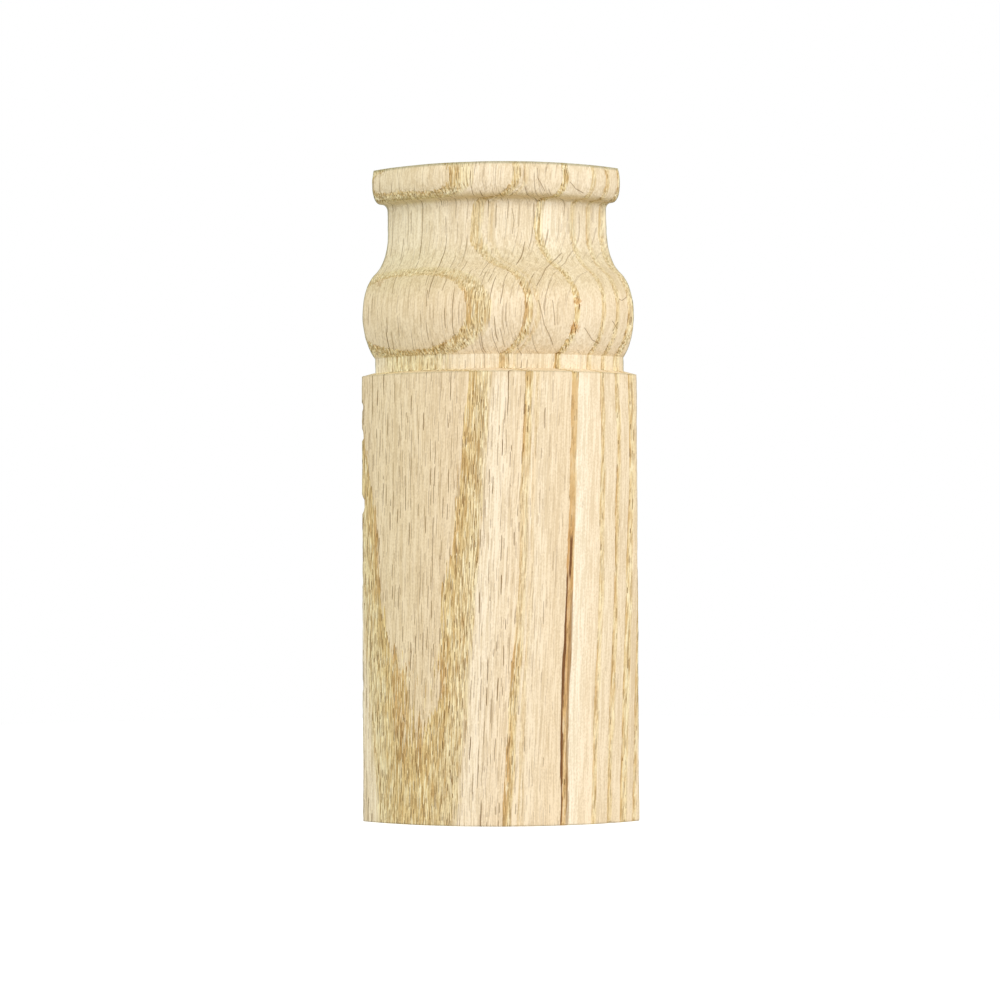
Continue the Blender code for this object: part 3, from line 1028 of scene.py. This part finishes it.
def add_cracks(nodes, oak, colour):
    """The drying cracks, on the round face alone."""
    for start, top, foot, strength in CRACKS_MM:
        end = start + CRACK_WIDTH_MM
        crack = nodes.product(
            nodes.step(oak.out, start - CRACK_EDGE_MM, start),
            nodes.step(oak.out, end + CRACK_EDGE_MM, end),
            oak.turned,
            nodes.step(oak.height, top, top - CRACK_TAPER_MM),
            nodes.step(oak.height, foot, foot + CRACK_TAPER_MM),
            strength,
        )
        colour = nodes.mix(crack, colour, CRACK)
    return colour


def add_scratches(nodes, oak, colour):
    """The scratches and the redder spots, which are placed on the round face itself."""
    place = nodes.combined(oak.around, oak.height)
    nearest = SCRATCH_FAR_MM
    for points in SCRATCHES:
        for start, end in zip(points[:-1], points[1:]):
            nearest = nodes.math("MINIMUM", nearest, line_distance(nodes, place, start, end))
    scratch = nodes.step(nearest, SCRATCH_HALF_WIDTH_MM, SCRATCH_CORE_MM)
    colour = nodes.mix(nodes.product(scratch, oak.turned, SCRATCH_SHARE), colour, RAY)
    for angle, height, half_width, half_height, strength in RED_SPOTS:
        offset = nodes.vector("SUBTRACT", place, (around_mm(angle), height, 0.0))
        offset = nodes.vector("MULTIPLY", offset, (1 / half_width, 1 / half_height, 0.0))
        far = nodes.math("MULTIPLY_ADD", oak.fuzz, SPOT_FUZZ, nodes.vector("LENGTH", offset))
        spot = nodes.product(nodes.step(far, *SPOT_EDGE), oak.turned, strength)
        colour = nodes.tint(colour, spot, WHITE, RED_SPOT)
    return colour


def add_wear(nodes, oak, colour):
    """The crumbs of torn grain with painted highlights and shadows, and the tints: painted shade in the
    hollows, darker end grain and painted shade on upper slopes, painted shade on the left side, a painted
    shadow with some dirt under the rim, and darker arrises with a painted shadow line along the shoulder.
    """
    # the crumbs' tint paints their highlights and shadows besides their darker pits
    oak.crumbs = nodes.product(nodes.grain(oak.wood, *CRUMBS), oak.torn)
    crumbs = nodes.step(nodes.math("MULTIPLY_ADD", oak.crumbs, CRUMB_STRENGTH, 0.5), 0.0, 1.0)
    colour = nodes.tint(colour, crumbs, CRUMB_PITS_AND_SHADOW, CRUMB_PAINTED_HIGHLIGHT)
    for where, tint in (
        # painted shade tone in the head's hollows
        (oak.sheltered, HOLLOW_SHADE_TINT),
        # darker end grain and painted shade on the slopes that face up
        (oak.upward, UPWARD_END_GRAIN_AND_SHADE),
        # painted shade on the round face's left side
        (nodes.product(nodes.step(oak.around, *LEFT_SHADE_MM), oak.turned), LEFT_SHADE_TINT),
        # painted shadow under the rim, with some dirt
        (oak.rim_shadow_and_dirt, RIM_SHADOW_AND_DIRT),
        # darker arrises and the foot's line, and a painted shadow line along the shoulder
        (oak.dark_edges_and_shade, EDGE_AND_SHADE_TINT),
    ):
        colour = nodes.tint(colour, where, WHITE, tint)
    return colour


def add_bump(nodes, oak):
    """The pattern's own fine depth, as a normal."""
    depth = nodes.product(oak.pits, PIT_BUMP_MM)
    for part, height in (
        (oak.dark_streaks, STREAK_BUMP_MM),
        (oak.rays, RAY_BUMP_MM),
        (oak.fibres, FIBRE_BUMP_MM),
        (oak.crumbs, CRUMB_BUMP_MM),
    ):
        depth = nodes.math("MULTIPLY_ADD", part, height, depth)
    return nodes.add("ShaderNodeBump", {"Height": depth, "Distance": MM, "Strength": 1.0}).outputs[0]


def new_material(name):
    """A material, short calls for its nodes, and its shader's inputs."""
    material = bpy.data.materials.new(name)
    material.use_nodes = True
    return material, Nodes(material.node_tree), material.node_tree.nodes["Principled BSDF"].inputs


def make_oak():
    """Bare oak whose rings, pores, rays and cracks run through the timber in three dimensions."""
    material, nodes, shader = new_material("bare_oak")
    oak = read_oak(nodes)
    colour = ring_colour(nodes, oak)
    for add_part in (add_fibres, add_pores, add_rays, add_cracks, add_scratches, add_wear):
        colour = add_part(nodes, oak, colour)
    nodes.join(colour, shader["Base Color"])
    nodes.join(add_bump(nodes, oak), shader["Normal"])
    shader["Roughness"].default_value = OAK_ROUGHNESS
    shader["Specular IOR Level"].default_value = OAK_SPECULAR
    return material


def make_floor():
    """A round plain pale floor, which fades into the white room."""
    mesh = bpy.data.meshes.new("floor")
    turns = [2 * math.pi * i / FLOOR_SIDES for i in range(FLOOR_SIDES)]
    corners = [(FLOOR_RADIUS * math.cos(a), FLOOR_RADIUS * math.sin(a), 0.0) for a in turns]
    mesh.from_pydata(corners, [], [tuple(range(FLOOR_SIDES))])
    floor = new_object("floor", mesh)
    material, nodes, shader = new_material("pale_floor")
    shader["Base Color"].default_value = (FLOOR_ALBEDO, FLOOR_ALBEDO, FLOOR_ALBEDO, 1.0)
    shader["Roughness"].default_value = FLOOR_ROUGHNESS
    shader["Specular IOR Level"].default_value = 0.0
    shader["Emission Color"].default_value = WHITE
    seen_directly = nodes.add("ShaderNodeLightPath").outputs["Is Camera Ray"]
    nodes.join(nodes.product(seen_directly, FLOOR_GLOW), shader["Emission Strength"])
    mesh.materials.append(material)


def make_key_light():
    """A soft square light that looks at the block's middle, from above the camera and to its right."""
    data = bpy.data.lights.new("key", "AREA")
    data.shape = "SQUARE"
    data.size = KEY_SIZE
    data.energy = KEY_POWER
    light = new_object("key", data)
    level = TO_CAMERA * math.cos(KEY_AZIMUTH) + PHOTO_RIGHT * math.sin(KEY_AZIMUTH)
    heading = level * math.cos(KEY_ELEVATION) + Vector((0, 0, math.sin(KEY_ELEVATION)))
    target = Vector((0.0, 0.0, HEIGHT / 2))
    light.location = target + KEY_DISTANCE * heading
    light.rotation_euler = (target - light.location).to_track_quat("-Z", "Y").to_euler()


def make_world():
    """A plain white room. It lights the block more from above than from below, and looks white itself."""
    world = bpy.data.worlds.new("room")
    world.use_nodes = True
    nodes = Nodes(world.node_tree)
    seen = world.node_tree.nodes["Background"]
    seen.inputs["Color"].default_value = WHITE
    seen.inputs["Strength"].default_value = 1.0
    upward = nodes.separated(nodes.add("ShaderNodeTexCoord").outputs["Generated"])[2]
    inputs = {"Value": upward, "To Min": ROOM_LIGHT_BELOW, "To Max": ROOM_LIGHT_ABOVE}
    inputs["From Min"], inputs["From Max"] = ROOM_LIGHT_RISES
    strength = nodes.add("ShaderNodeMapRange", inputs, interpolation_type="SMOOTHSTEP").outputs["Result"]
    light = nodes.add("ShaderNodeBackground", {"Strength": strength})
    seen_directly = nodes.add("ShaderNodeLightPath").outputs["Is Camera Ray"]
    choose = nodes.add("ShaderNodeMixShader", {0: seen_directly, 1: light.outputs[0], 2: seen.outputs[0]})
    nodes.join(choose.outputs[0], world.node_tree.nodes["World Output"].inputs["Surface"])
    bpy.context.scene.world = world


def make_camera():
    """The photograph's view of the block."""
    data = bpy.data.cameras.new("camera")
    data.sensor_width = CAMERA_SENSOR_MM
    data.lens = CAMERA_LENS_MM
    data.clip_start = CAMERA_CLIP_START
    camera = new_object("camera", data)
    turn = Matrix.Rotation(CAMERA_PAN, 4, "Z") @ Matrix.Rotation(CAMERA_TILT, 4, "X")
    turn = turn @ Matrix.Rotation(CAMERA_ROLL, 4, "Y") @ Matrix.Rotation(QUARTER, 4, "X")
    place = AXIS + TO_CAMERA * CAMERA_DISTANCE + Vector((0, 0, CAMERA_HEIGHT))
    camera.matrix_world = Matrix.Translation(place) @ Matrix.Rotation(CAMERA_AZIMUTH, 4, "Z") @ turn
    bpy.context.scene.camera = camera


block = make_block()
block.data.materials.append(make_oak())
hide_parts("corner_base_block")
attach(block, "root")
make_floor()
make_world()
make_key_light()
make_camera()
bpy.context.scene.view_settings.view_transform = "Standard"
